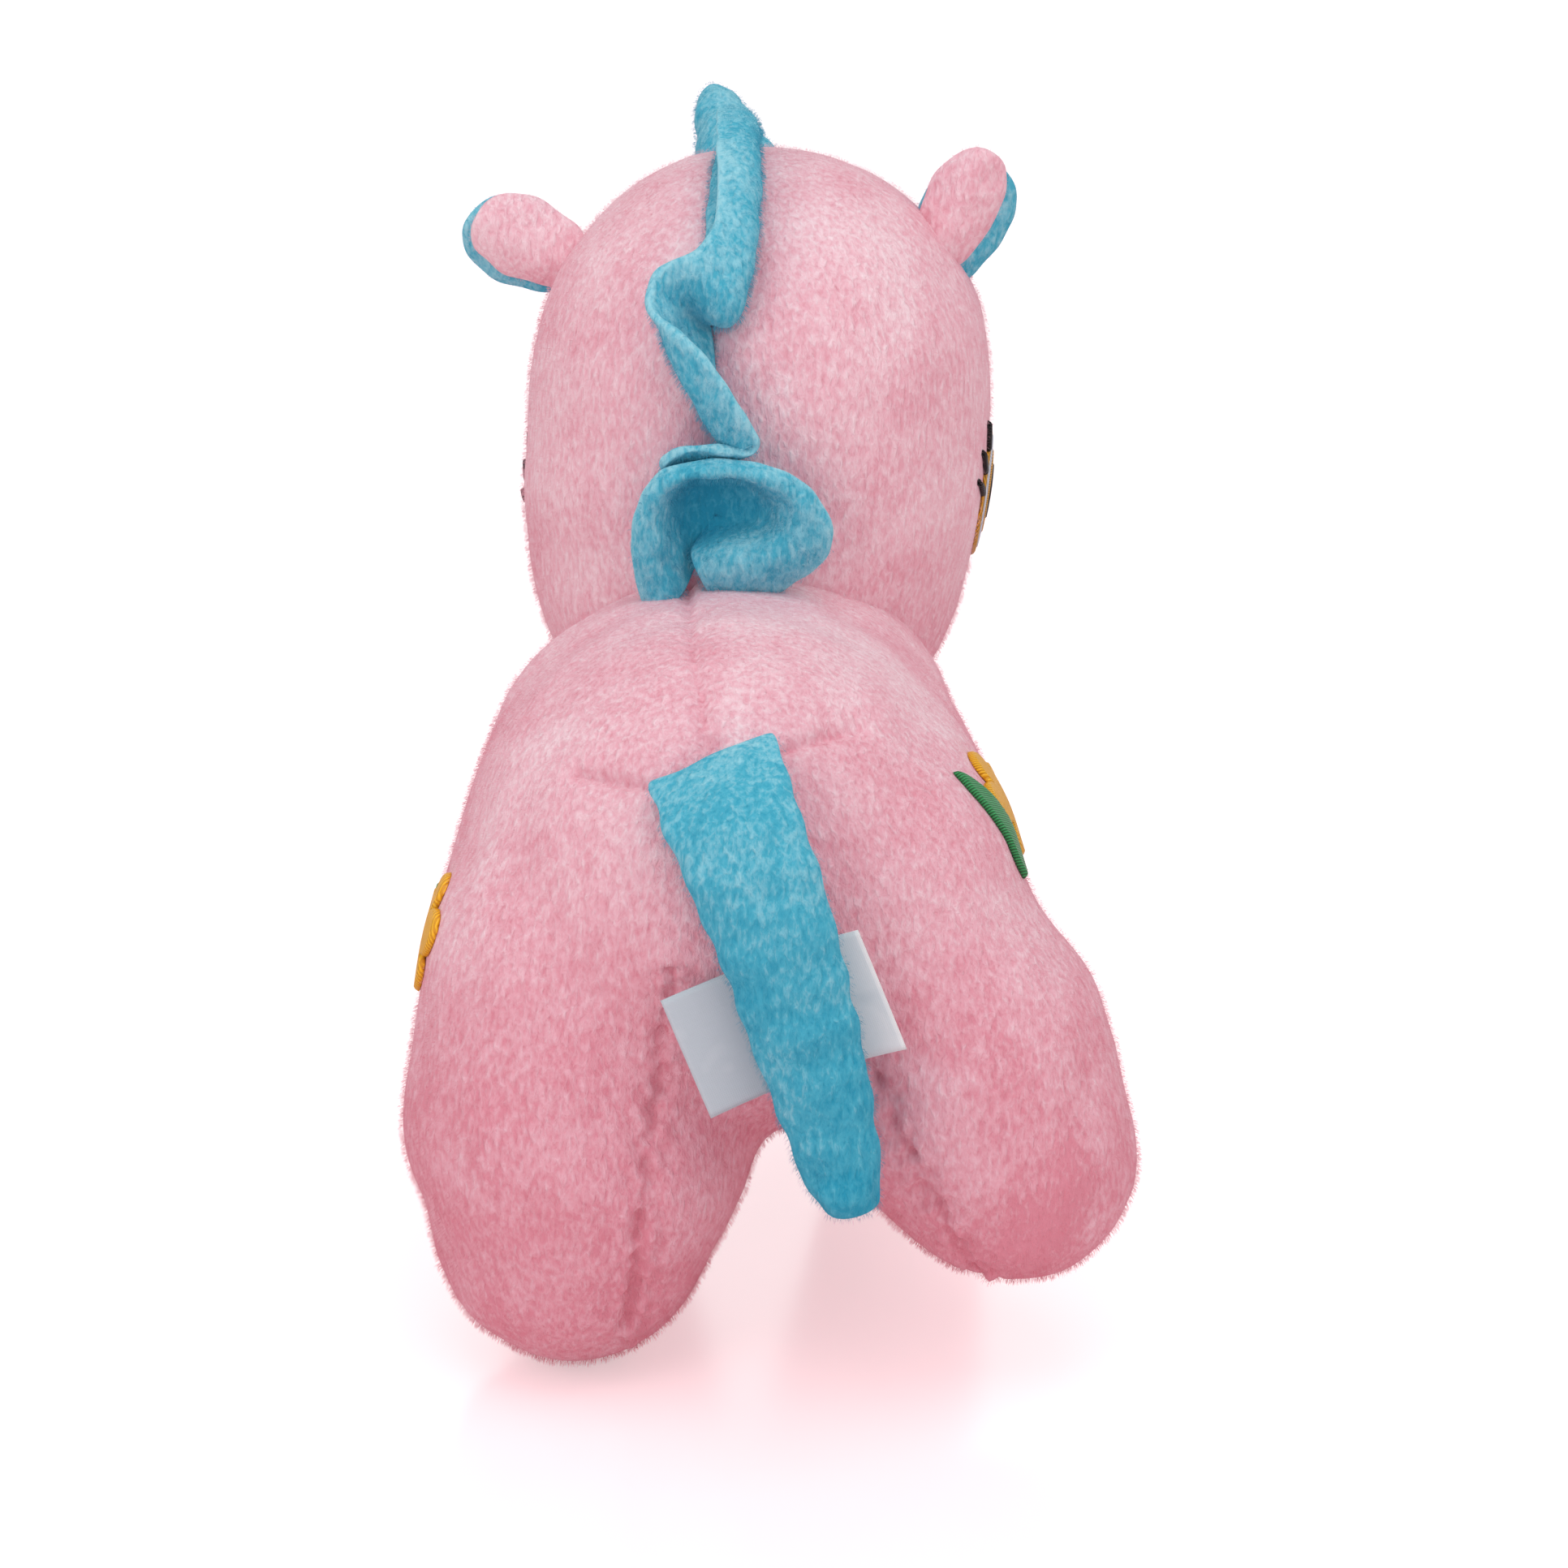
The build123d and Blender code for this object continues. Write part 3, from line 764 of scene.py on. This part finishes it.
class PLUSH_OT_body(Operator):
    """Sews and stuffs the body with its four legs"""
    bl_idname = "plush.body"
    bl_label = "Body"

    def execute(self, context):
        body = remeshed(limbs("body_skin", BODY_LIMBS))
        relaxed(body, 6)
        places = points(body)
        held = (np.abs(plane_gap(places, BACK_SEAM)) < HELD) & (places[:, 2] > BACK_SEAM_END)
        held |= gusset_gap(places) < HELD
        stuffed(body, held, most=0.0035)
        places = points(body)
        # The table presses the soles flat.
        places[:, 2] = np.maximum(places[:, 2], 0.0012)
        put_points(body, places)
        relaxed(body, 1)
        subdivided(body, 2)
        places = points(body)
        # The seams inside the legs fade out near the soles.
        legs = gusset_gap(places) + np.maximum(0, 0.022 - places[:, 2]) * 0.4
        seam = sewn(body, legs, 0.8, pucker=0.0016)
        below = np.where(places[:, 2] < BACK_SEAM_END, 0.05, 0)
        back = np.abs(plane_gap(places, BACK_SEAM)) + below
        dark = sewn(body, back, 0.9, pucker=0.0005)
        # The two darts over the hips
        for start, end in (((18, 84, 164), (44, 72, 166)), ((-13, 84, 177), (-40, 66, 182))):
            surface = surface_of(body)
            line = [surface.find_nearest(TOY @ (Vector(start).lerp(end, step / 6) * MM))[0]
                    for step in range(7)]
            gap = line_gap(points(body), line)
            dark = np.maximum(dark, sewn(body, gap, 1.0, pucker=0.0004))
        # Painted shade along the back seam, the darts and the seams inside the legs: deeper pink
        # there
        seam = -np.maximum(0.7 * dark, 0.4 * seam)
        attribute = body.data.attributes.new("seam", "FLOAT", "POINT")
        attribute.data.foreach_set("value", seam.astype(np.float32))
        lumpy(body, size=0.022, seed=5, depth=0.0005)
        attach(body, "torso")
        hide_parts("body_left_panel", "body_right_panel", "belly_gusset", "body_stuffing")
        return {"FINISHED"}


class PLUSH_OT_head(Operator):
    """Sews and stuffs the head with its muzzle"""
    bl_idname = "plush.head"
    bl_label = "Head"

    def execute(self, context):
        head = remeshed(limbs("head_skin", HEAD_LIMBS))
        relaxed(head, 6)
        seam_plane = HEAD @ moved(HEAD_SEAM_X, 0, 0)
        held = np.abs(plane_gap(points(head), seam_plane)) < HELD
        stuffed(head, held, most=0.003)
        subdivided(head, 2)
        gap = np.abs(plane_gap(points(head), seam_plane))
        sewn(head, gap, 0.7, pucker=0.0004)
        lumpy(head, size=0.026, seed=8, depth=0.0004)
        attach(head, "head")
        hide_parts("head_left_panel", "head_right_panel", "head_stuffing")
        return {"FINISHED"}


# The mane is one strip in two runs. Each row across it runs from the sewn edge over the fold to the
# free edge, each point as the way back from the crown, sideways and above the plush, all in mm. The
# rows of the curl all start at its foot.
MANE_BAND = (
    ((-7, 0, -1), (-9, -5, 2), (-9, -4, 4), (-8, 0, 4)),
    ((-3, 1, -1), (-4, -8, 4), (-4, -7, 9), (-4, 1, 9)),
    ((8, 1, -1), (8, -11, 6), (8, -9, 12), (9, 0, 12)),
    ((22, 1, -1), (22, -13, 6), (22, -11, 13), (24, -2, 13)),
    ((34, 1, -1), (36, -15, 6), (36, -12, 13), (36, -3, 13)),
    ((43, 1, -1), (54, -15, 6), (52, -12, 13), (49, -4, 13)),
    ((48, 1, -1), (73, -10, 6), (68, -9, 13), (54, -1, 13)),
    ((53, 1, -1), (74, -7, 4), (70, -4, 11), (57, 4, 13)),
    ((58, 0, -1), (70, -1, 1), (66, 2, 3), (58, 10, 12)),
    ((63, 0, -1), (69, 1, 0), (67, 5, 3), (62, 14, 12)),
    ((67, 0, -1), (72, 3, 1), (71, 8, 6), (68, 14, 12)),
    ((71, -1, -1), (77, 5, 4), (77, 10, 11), (71, 9, 15)),
    ((76, -1, -1), (82, 4, 6), (82, 7, 12), (75, 2, 16)),
    ((84, -2, -1), (89, 1, 6), (89, 3, 12), (82, -5, 15)),
    ((91, -3, -1), (96, -3, 5), (96, -2, 11), (90, -10, 13)),
    ((97, -3, -1), (101, -8, 5), (101, -8, 10), (97, -15, 11)),
    ((100, -2, -1), (102, -5, 3), (101, -6, 9), (100, -12, 12)),
    ((103, 0, -1), (103, 1, 3), (100, 1, 8), (97, -2, 13)),
    ((106, 1, -1), (104, 8, 3), (101, 9, 8), (97, 6, 12)),
    ((108, 2, -1), (107, 11, 2), (104, 13, 7), (101, 12, 11)),
)
CURL_FOOT = (118, 0, 0)
MANE_CURL = (
    ((131, 6, 3), (136, 9, 9), (140, 13, 13), (145, 17, 11)),
    ((126, 8, 1), (129, 10, 10), (132, 14, 14), (134, 20, 10)),
    ((119, 10, 1), (120, 12, 9), (120, 16, 16), (120, 21, 11)),
    ((110, 10, 1), (108, 11, 10), (108, 14, 17), (105, 16, 12)),
    ((106, 4, 1), (103, 4, 10), (104, 5, 17), (101, 6, 11)),
    ((106, -4, 1), (103, -5, 10), (104, -6, 17), (101, -7, 11)),
    ((109, -11, 1), (106, -13, 9), (107, -17, 16), (104, -20, 11)),
    ((115, -14, 1), (114, -17, 8), (114, -23, 13), (112, -28, 9)),
    ((120, -12, 1), (121, -15, 8), (123, -23, 13), (124, -33, 9)),
    ((122, -6, 2), (123, -8, 12), (129, -15, 14), (134, -22, 6)),
    ((123, 1, 2), (124, 0, 13), (132, -5, 14), (139, -11, 6)),
    ((125, 6, 1), (126, 6, 9), (132, 4, 12), (139, 1, 6)),
)


class PLUSH_OT_mane(Operator):
    """Folds a doubled strip of plush along the head's middle seam"""
    bl_idname = "plush.mane"
    bl_label = "Mane"

    def execute(self, context):
        bm = bmesh.new()
        # 1 along the strip's free edge and its front end, a painted highlight; -1 in the curl's
        #         # pocket, painted shade
        edge = bm.verts.layers.float.new("seam")
        for curled, rows in ((False, MANE_BAND), (True, [(CURL_FOOT, *row) for row in MANE_CURL])):
            grid = [[bm.verts.new(crown_point(*place)) for place in row] for row in rows]
            if not curled:
                for vert in grid[0]:
                    vert[edge] = 1.0
            for row in grid:
                row[-1][edge] = 1.0
                if curled:
                    row[0][edge] = row[1][edge] = -1.0
            for row, following in zip(grid, grid[1:]):
                for column in range(len(row) - 1):
                    bm.faces.new((row[column], row[column + 1],
                                  following[column + 1], following[column]))
        mane = subdivided(object_of("mane_ruffle", bm), 2)
        thick = mane.modifiers.new("doubled", "SOLIDIFY")
        thick.thickness = 0.0026
        thick.offset = 0
        subdivided(mane, 2)
        lumpy(mane, size=0.009, seed=7, depth=0.0004)
        cut = np.zeros(len(mane.data.vertices), np.float32)
        mane.data.attributes["seam"].data.foreach_get("value", cut)
        pocket = np.clip(-cut, 0, 1)
        cut = np.clip(cut, 0, 1) ** 3
        # Painted light: a highlight along the free edge and front end, shade in the curl's pocket
        shade = (cut * 1.1 - pocket * 1.6).astype(np.float32)
        mane.data.attributes["seam"].data.foreach_set("value", shade)
        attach(mane, "head")
        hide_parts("mane")
        keep = 1 - 0.7 * cut - 0.7 * pocket
        grow_pile(mane, "blue", 1, (0, 0.3, -0.5), seed=5, keep=keep, fibres_each=5, width=0.0012)
        return {"FINISHED"}


def warped_ball(name, around, along, shape):
    """A ball drawn into another closed form: shape takes a share along it and an angle round it."""
    bm = bmesh.new()
    bmesh.ops.create_uvsphere(bm, u_segments=around, v_segments=along, radius=1)
    for vert in bm.verts:
        share = acos(max(-1.0, min(1.0, vert.co.z))) / pi
        angle = atan2(vert.co.y, vert.co.x)
        vert.co = shape(share, angle)
    bmesh.ops.recalc_face_normals(bm, faces=bm.faces[:])
    return object_of(name, bm)


class PLUSH_OT_horn(Operator):
    """Sews and stuffs the horn"""
    bl_idname = "plush.horn"
    bl_label = "Horn"

    def execute(self, context):
        seat = seat_of_horn()
        length, sunk, tip, widening = 57, 12, 4.2, 10.8

        def shape(share, angle):
            height = length * (1 - share) - sunk
            radius = tip + widening * share ** 0.9
            end = min(1.0, (sin(pi * share) * 2.2)) ** 0.6
            radius *= end * (1 + 0.03 * sin(9 * share * pi + angle))
            point = Vector((radius * cos(angle), radius * sin(angle), height))
            return seat @ (point * MM)

        horn = subdivided(warped_ball("horn_cover_skin", 28, 22, shape), 2)
        lumpy(horn, size=0.009, seed=3, depth=0.0005)
        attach(horn, "horn")
        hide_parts("horn_cover", "horn_stuffing")
        grow_pile(horn, "blue", 0.8, (0, 0.3, -0.4), seed=6, fibres_each=5, width=0.0012)
        return {"FINISHED"}


class PLUSH_OT_ears(Operator):
    """Sews both ears: a pink leaf with a blue lining"""
    bl_idname = "plush.ears"
    bl_label = "Ears"

    def ear_leaf(self, name, side, lean, reach, half, thick, back, slide):
        """A small flat cushion, cupped towards the face; slide moves it along and across it."""
        place = ear_frame(side) @ turned(lean, "Y")
        sunk = 10

        def shape(share, angle):
            x = reach - (reach + sunk) * (1 - cos(pi * share)) / 2
            swell = sin(pi * share) ** 0.75 * (1 - 0.08 * exp(-(x / 4.5) ** 2))
            z = half * swell * cos(angle)
            y = thick * swell ** 0.6 * sin(angle) + back - (z / half) ** 2 * 3.6 + x * 0.05
            return place @ (Vector((x + slide[0], y, z + slide[1])) * MM)

        ear = subdivided(warped_ball(name, 28, 20, shape), 2)
        lumpy(ear, size=0.008, seed=4, depth=0.0004)
        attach(ear, "left_ear" if side > 0 else "right_ear")
        return ear

    def execute(self, context):
        rows = ((1, "left", 6, 21.5, 11.6, (1.8, -2.6)), (-1, "right", 26, 25.0, 10.0, (-2.5, 2.4)))
        for side, name, lean, reach, half, slide in rows:
            outer = self.ear_leaf(name + "_ear_back", side, lean, reach, half, 2.8, 1.5, (0, 0))
            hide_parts(name + "_ear_outer")
            grow_pile(outer, "pink", 0.8, (0, 0, -0.5), seed=20 + side)
            lining = self.ear_leaf(name + "_ear_front", side, lean, reach, 12.2, 2.2, -1.8, slide)
            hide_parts(name + "_ear_lining")
            grow_pile(lining, "blue", 0.8, (0, 0, -0.5), seed=30 + side)
        return {"FINISHED"}


class PLUSH_OT_tail(Operator):
    """Sews and stuffs the flat tail, gathered at its end"""
    bl_idname = "plush.tail"
    bl_label = "Tail"

    def execute(self, context):
        root = radians(36)
        reach = RUMP_RADIUS + 9.1
        arc = reach * root
        hanging = 66
        total = arc + hanging

        def shape(share, angle):
            start = total * (1 - cos(pi * share)) / 2
            # The root is sewn on a slant: one edge of the tail reaches further up.
            travelled = start - (6.5 - 2.9 * cos(angle)) * max(0.0, 1 - start / 26)
            if travelled < arc:
                turn = root - travelled / reach
                middle = Vector((0, reach * cos(turn), reach * sin(turn)))
                out = Vector((0, cos(turn), sin(turn)))
            else:
                middle = Vector((0, reach, arc - travelled))
                out = Vector((0, 1, 0))
            near_root = sin(pi * min(0.5, share)) ** 0.06
            near_end = sin(pi * max(0.5, share)) ** 0.24
            width = (17.2 - 7.2 * start / total) * near_root * near_end
            thick = (2.0 + 4.0 * min(1, start / 24)) * near_end * near_root
            sway = -6.4 * sin(min(1.0, start / 56) * pi / 2) + 0.4 * (start / total) ** 4
            # The root sinks into the seam, and the end is gathered by a thread.
            middle -= out * 7.5 * max(0.0, 1 - start / 18) ** 1.5
            gather = max(0.0, 1 - abs(start - total + 5) / 6)
            width *= 1 - 0.22 * gather * abs(sin(4 * angle))
            thick *= 1 + 0.5 * gather
            point = (middle + Vector((sway + width * cos(angle), 0, 0))
                     + out * (thick * sin(angle)))
            return TAIL @ (point * MM)

        tail = subdivided(warped_ball("tail_tube", 28, 36, shape), 2)
        lumpy(tail, size=0.014, seed=9, depth=0.0006)
        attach(tail, "tail")
        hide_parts("tail_cover", "tail_stuffing")
        grow_pile(tail, "blue", 0.9, (0, 0.1, -0.8), seed=9)
        return {"FINISHED"}


class PLUSH_OT_label(Operator):
    """Folds the bare satin label and sews it under the tail"""
    bl_idname = "plush.label"
    bl_label = "Label"

    def execute(self, context):
        bm = bmesh.new()
        bmesh.ops.create_grid(bm, x_segments=40, y_segments=20, size=1)
        threads = bm.loops.layers.uv.new("threads")
        leaf, half_height = 25, 16
        for face in bm.faces:
            for loop in face.loops:
                x, y = loop.vert.co.x, loop.vert.co.y
                loop[threads].uv = (x * (leaf * MM), y * (half_height * MM))
        flare = radians(8)
        for vert in bm.verts:
            x, z = vert.co.x * leaf, vert.co.y * half_height
            away = abs(x) * sin(flare) + 0.8 * exp(-(x / 2.0) ** 2)
            curl = (0.5 * sin(x / leaf * 2.2 + z / half_height * 1.1)
                    + 0.9 * (abs(x) / leaf) ** 4)
            vert.co = LABEL @ (Vector((x * cos(flare), away + curl, z)) * MM)
        label = object_of("label_ribbon", bm)
        thick = label.modifiers.new("thickness", "SOLIDIFY")
        thick.thickness = 0.0004
        settle(label)
        label.data.materials.append(satin_ribbon("satin_ribbon_white", "F1F3F5", "C3CDD5"))
        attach(label, "torso")
        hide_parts("label_left_leaf", "label_right_leaf")
        return {"FINISHED"}


class PLUSH_OT_flank_marks(Operator):
    """Embroiders the blossom and leaf on each flank"""
    bl_idname = "plush.flank_marks"
    bl_label = "Flank marks"

    def execute(self, context):
        body = bpy.data.objects["body_skin"]
        gold = satin_thread("gold", "FFC022", "E09A12")
        green = satin_thread("green", "34A35C", "1C6435")
        patches = []

        def petals(angle):
            radius = 8.6 + 5.6 * abs(cos(2.5 * (angle - radians(18)))) ** 0.6
            return radius * cos(angle), radius * sin(angle)

        for side, name, half_length in ((1, "left", 7.5), (-1, "right", 15.0)):
            hip = (side * 35 + 4, 38.5 + side * 1.5, 117 - side * 2)
            place = HIND @ moved(*hip) @ turned(side * 90, "Z") @ turned(90, "X") @ moved(4.5, 0, 0)
            leaf = outline(40, lambda angle: (
                -15.5 + 3.6 * sin(angle) * abs(sin(angle)) ** 0.4,
                half_length * cos(angle)))
            outer = place @ moved(0, 0, 60)
            for piece_name, edge, material, spin in (("_blossom", outline(60, petals), gold, 35),
                                                     ("_leaf", leaf, green, 60)):
                piece = patch(name + "_flank" + piece_name + "_stitch", edge, outer, body, 0.0017,
                              material, spin)
                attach(piece, "torso")
                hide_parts(name + "_flank" + piece_name)
                patches.append(piece)
        keep = cleared(body, patches)
        places = points(body)
        # No pile on the neck's stump inside the head
        inside = np.linalg.norm(places - np.array(HEAD.translation), axis=1) < 0.058
        seam = np.zeros(len(keep), np.float32)
        body.data.attributes["seam"].data.foreach_get("value", seam)
        keep = np.where(inside, 0, keep * (1 - 0.9 * seam ** 2))
        grow_pile(body, "pink", 1, (0.1, 0.1, -0.55), seed=1, keep=keep)
        return {"FINISHED"}


class PLUSH_OT_eyes(Operator):
    """Embroiders the eyes with their lashes"""
    bl_idname = "plush.eyes"
    bl_label = "Eyes"

    def execute(self, context):
        head = bpy.data.objects["head_skin"]
        white = satin_thread("white", "E4EAF4", "B4BECF")
        amber = satin_thread("amber", "E9A928", "9A6A12")
        black = satin_thread("black", "1B1B1D", "050506")
        rows = (("_eye_white", ellipse(12, 16), white, 0.0013, "white_thread", 0),
                ("_eye_iris", ellipse(8.9, 11.8), amber, 0.0016, "amber_thread", 90),
                ("_eye_pupil", ellipse(6, 8), black, 0.0019, "black_thread", 0))
        for side, name, round_head in ((1, "left", 77), (-1, "right", -86)):
            place = (HEAD @ moved(HEAD_SEAM_X / 2, 0, -20) @ turned(round_head, "Z")
                     @ turned(90, "X") @ moved(0, 0, 90))
            for piece_name, edge, material, height, slot_name, spin in rows:
                piece = patch(name + piece_name + "_stitch", edge, place, head, height, material,
                              spin)
                if material is amber:
                    rim = patch("rim", ellipse(13.4, 17.4), place, head, 0.0010, material, 0)
                    piece = joined(name + piece_name + "_stitch", (piece, rim), material)
                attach(piece, "head")
                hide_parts(name + piece_name)
            piece = self.lashes(name + "_eye_lashes_stitch", side, place, head, black)
            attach(piece, "head")
            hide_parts(name + "_eye_lashes")
        return {"FINISHED"}

    def lashes(self, name, side, place, head, material):
        """Three tapered stitches that sweep up from the eye's rim."""
        made = []
        for angle in (8, 32, 56):
            bearing = radians(angle if side > 0 else 180 - angle)
            root = Vector((cos(bearing), sin(bearing)))
            root *= 12.8 * 16.8 / hypot(16.8 * root.x, 12.8 * root.y)
            swept = radians(32 + angle * 0.7)
            along = Vector((side * cos(swept), sin(swept)))
            over = Vector((-along.y, along.x))
            edge = outline(20, lambda turn: root + along * (4.6 + 5.0 * cos(turn)) + over * (
                (0.85 - 0.4 * cos(turn)) * sin(turn)))
            made.append(patch(name + str(angle), edge, place, head, 0.0013, material, angle))
        return joined(name, made, material)


class PLUSH_OT_muzzle(Operator):
    """Embroiders the nostrils and the mouth, and grows the head's pile round them"""
    bl_idname = "plush.muzzle"
    bl_label = "Muzzle"

    def execute(self, context):
        head = bpy.data.objects["head_skin"]
        rose = satin_thread("rose", "B65A72", "7B3347")
        place = HEAD @ moved(3, -50, -27) @ turned(90, "X") @ moved(0, 0, 60)
        for name, side in (("left", 1), ("right", -1)):
            edge = ellipse(2.6, 3.6, side * 11, 7, 24)
            piece = patch(name + "_nostril_stitch", edge, place, head, 0.0014, rose, 90)
            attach(piece, "head")
            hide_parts(name + "_nostril")
        stitches = []
        for step in range(9):
            angle = radians(-143 + 106 * (step + 0.5) / 9)
            along = Vector((-sin(angle), cos(angle)))
            middle = Vector((14 * cos(angle), -2 + 14 * sin(angle)))
            edge = outline(16, lambda turn: middle + along * 1.75 * cos(turn)
                           + along.orthogonal() * 0.8 * sin(turn))
            stitches.append(patch("stitch" + str(step), edge, place, head, 0.0014, rose, 90))
        mouth = joined("mouth_stitching", stitches, rose)
        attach(mouth, "head")
        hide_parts("mouth_stitch")
        patches = [item for item in bpy.data.objects if item.get("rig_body") == "head"
                   and "stitch" in item.name and "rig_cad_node" not in item]
        grow_pile(head, "pink", 0.9, (0.1, 0.1, -0.5), seed=2, keep=cleared(head, patches))
        return {"FINISHED"}


STEPS = (PLUSH_OT_stage, PLUSH_OT_body, PLUSH_OT_head, PLUSH_OT_mane, PLUSH_OT_horn, PLUSH_OT_ears,
         PLUSH_OT_tail, PLUSH_OT_label, PLUSH_OT_flank_marks, PLUSH_OT_eyes, PLUSH_OT_muzzle)


class PLUSH_PT_steps(Panel):
    """Lists the steps that build the toy"""
    bl_label = "Plush unicorn"
    bl_idname = "PLUSH_PT_steps"
    bl_space_type = "VIEW_3D"
    bl_region_type = "UI"
    bl_category = "Plush"

    def draw(self, context):
        for step in STEPS:
            self.layout.operator(step.bl_idname)


CLASSES = (PlushColours, PlushSizes, *STEPS, PLUSH_PT_steps)


def register():
    for item in CLASSES:
        bpy.utils.register_class(item)
    bpy.types.Scene.plush_colours = PointerProperty(type=PlushColours)
    bpy.types.Scene.plush_sizes = PointerProperty(type=PlushSizes)


def unregister():
    del bpy.types.Scene.plush_sizes
    del bpy.types.Scene.plush_colours
    for item in reversed(CLASSES):
        bpy.utils.unregister_class(item)


def main():
    register()
    for step in STEPS:
        area, name = step.bl_idname.split(".")
        getattr(getattr(bpy.ops, area), name)()


if __name__ == "__main__":
    main()
